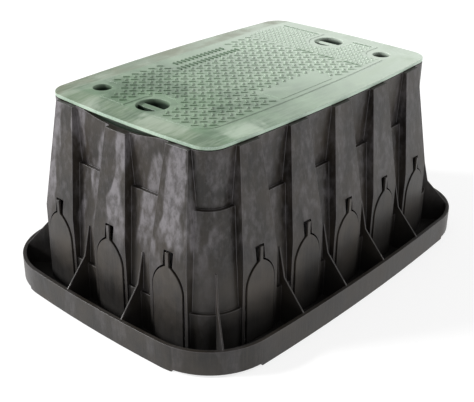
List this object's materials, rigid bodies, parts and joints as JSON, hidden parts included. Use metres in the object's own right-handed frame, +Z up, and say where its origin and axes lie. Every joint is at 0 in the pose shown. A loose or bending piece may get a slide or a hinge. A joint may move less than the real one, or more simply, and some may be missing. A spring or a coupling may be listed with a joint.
{
  "type": "in-ground irrigation valve box",
  "caption": "Rectangular in-ground valve box: corrugated flared plastic body with pipe knock-outs and a flange, closed by a bolt-down green lid with lift pockets.",
  "frame": {"origin": "middle of the footprint, at the underside of the box", "axes": "+X along the box, +Y across it, +Z up through the lid"},
  "size_m": [0.8408, 0.6048, 0.3829],
  "materials": {
    "body_plastic": "charcoal structural foam plastic with pale flow marks",
    "plate_plastic": "charcoal structural foam plastic",
    "lid_plastic": "pale green structural foam plastic with swirl marks",
    "zinc_steel": "zinc plated steel"
  },
  "bodies": {
    "box": {"box_body": "body_plastic", "captive_nut_1": "zinc_steel", "captive_nut_2": "zinc_steel"},
    "lid": {"lid": "lid_plastic"},
    "washer_1": {"bolt_washer_1": "zinc_steel"},
    "washer_2": {"bolt_washer_2": "zinc_steel"},
    "bolt_1": {"lock_bolt_1": "zinc_steel"},
    "bolt_2": {"lock_bolt_2": "zinc_steel"},
    "plate_front_1": {"knockout_front_1": "plate_plastic"},
    "plate_front_2": {"knockout_front_2": "plate_plastic"},
    "plate_front_3": {"knockout_front_3": "plate_plastic"},
    "plate_front_4": {"knockout_front_4": "plate_plastic"},
    "plate_front_5": {"knockout_front_5": "plate_plastic"},
    "plate_right_1": {"knockout_right_1": "plate_plastic"},
    "plate_right_2": {"knockout_right_2": "plate_plastic"},
    "plate_right_3": {"knockout_right_3": "plate_plastic"},
    "plate_back_1": {"knockout_back_1": "plate_plastic"},
    "plate_back_2": {"knockout_back_2": "plate_plastic"},
    "plate_back_3": {"knockout_back_3": "plate_plastic"},
    "plate_back_4": {"knockout_back_4": "plate_plastic"},
    "plate_back_5": {"knockout_back_5": "plate_plastic"},
    "plate_left_1": {"knockout_left_1": "plate_plastic"},
    "plate_left_2": {"knockout_left_2": "plate_plastic"},
    "plate_left_3": {"knockout_left_3": "plate_plastic"}
  },
  "joints": [
    {"name": "lid_lift", "type": "slide", "parent": "box", "child": "lid", "axis": [0, 0, 1], "range_m": [0, 0.12]},
    {"name": "bolt_rise_1", "type": "slide", "parent": "lid", "child": "washer_1", "axis": [0, 0, 1], "range_m": [0, 0.012]},
    {"name": "bolt_turn_1", "type": "hinge", "parent": "washer_1", "child": "bolt_1", "pos_m": [-0.255, 0.131, 0.3504], "axis": [0, 0, 1], "range_deg": [0, 2880]},
    {"name": "bolt_rise_2", "type": "slide", "parent": "lid", "child": "washer_2", "axis": [0, 0, 1], "range_m": [0, 0.012]},
    {"name": "bolt_turn_2", "type": "hinge", "parent": "washer_2", "child": "bolt_2", "pos_m": [0.255, -0.131, 0.3504], "axis": [0, 0, 1], "range_deg": [0, 2880]},
    {"name": "push_front_1", "type": "hinge", "parent": "box", "child": "plate_front_1", "pos_m": [-0.24513, -0.23931, 0.1915], "axis": [0.9981, -0.0619, 0], "range_deg": [0, 30]},
    {"name": "push_front_2", "type": "hinge", "parent": "box", "child": "plate_front_2", "pos_m": [-0.12257, -0.245, 0.1915], "axis": [0.9995, -0.0309, 0], "range_deg": [0, 30]},
    {"name": "push_front_3", "type": "hinge", "parent": "box", "child": "plate_front_3", "pos_m": [0, -0.2469, 0.1915], "axis": [1, 0, 0], "range_deg": [0, 30]},
    {"name": "push_front_4", "type": "hinge", "parent": "box", "child": "plate_front_4", "pos_m": [0.12257, -0.245, 0.1915], "axis": [0.9995, 0.0309, 0], "range_deg": [0, 30]},
    {"name": "push_front_5", "type": "hinge", "parent": "box", "child": "plate_front_5", "pos_m": [0.24513, -0.23931, 0.1915], "axis": [0.9981, 0.0619, 0], "range_deg": [0, 30]},
    {"name": "push_right_1", "type": "hinge", "parent": "box", "child": "plate_right_1", "pos_m": [0.36404, -0.14103, 0.1915], "axis": [0.0589, 0.9983, 0], "range_deg": [0, 30]},
    {"name": "push_right_2", "type": "hinge", "parent": "box", "child": "plate_right_2", "pos_m": [0.3682, 0, 0.1915], "axis": [0, 1, 0], "range_deg": [0, 30]},
    {"name": "push_right_3", "type": "hinge", "parent": "box", "child": "plate_right_3", "pos_m": [0.36404, 0.14103, 0.1915], "axis": [-0.0589, 0.9983, 0], "range_deg": [0, 30]},
    {"name": "push_back_1", "type": "hinge", "parent": "box", "child": "plate_back_1", "pos_m": [0.24513, 0.23931, 0.1915], "axis": [-0.9981, 0.0619, 0], "range_deg": [0, 30]},
    {"name": "push_back_2", "type": "hinge", "parent": "box", "child": "plate_back_2", "pos_m": [0.12257, 0.245, 0.1915], "axis": [-0.9995, 0.0309, 0], "range_deg": [0, 30]},
    {"name": "push_back_3", "type": "hinge", "parent": "box", "child": "plate_back_3", "pos_m": [0, 0.2469, 0.1915], "axis": [-1, 0, 0], "range_deg": [0, 30]},
    {"name": "push_back_4", "type": "hinge", "parent": "box", "child": "plate_back_4", "pos_m": [-0.12257, 0.245, 0.1915], "axis": [-0.9995, -0.0309, 0], "range_deg": [0, 30]},
    {"name": "push_back_5", "type": "hinge", "parent": "box", "child": "plate_back_5", "pos_m": [-0.24513, 0.23931, 0.1915], "axis": [-0.9981, -0.0619, 0], "range_deg": [0, 30]},
    {"name": "push_left_1", "type": "hinge", "parent": "box", "child": "plate_left_1", "pos_m": [-0.36404, 0.14103, 0.1915], "axis": [-0.0589, -0.9983, 0], "range_deg": [0, 30]},
    {"name": "push_left_2", "type": "hinge", "parent": "box", "child": "plate_left_2", "pos_m": [-0.3682, 0, 0.1915], "axis": [0, -1, 0], "range_deg": [0, 30]},
    {"name": "push_left_3", "type": "hinge", "parent": "box", "child": "plate_left_3", "pos_m": [-0.36404, -0.14103, 0.1915], "axis": [0.0589, -0.9983, 0], "range_deg": [0, 30]}
  ],
  "couplings": [
    {"joint": "bolt_rise_1", "follows": "bolt_turn_1", "m_per_rad": 0.00023873},
    {"joint": "bolt_rise_2", "follows": "bolt_turn_2", "m_per_rad": 0.00023873}
  ]
}
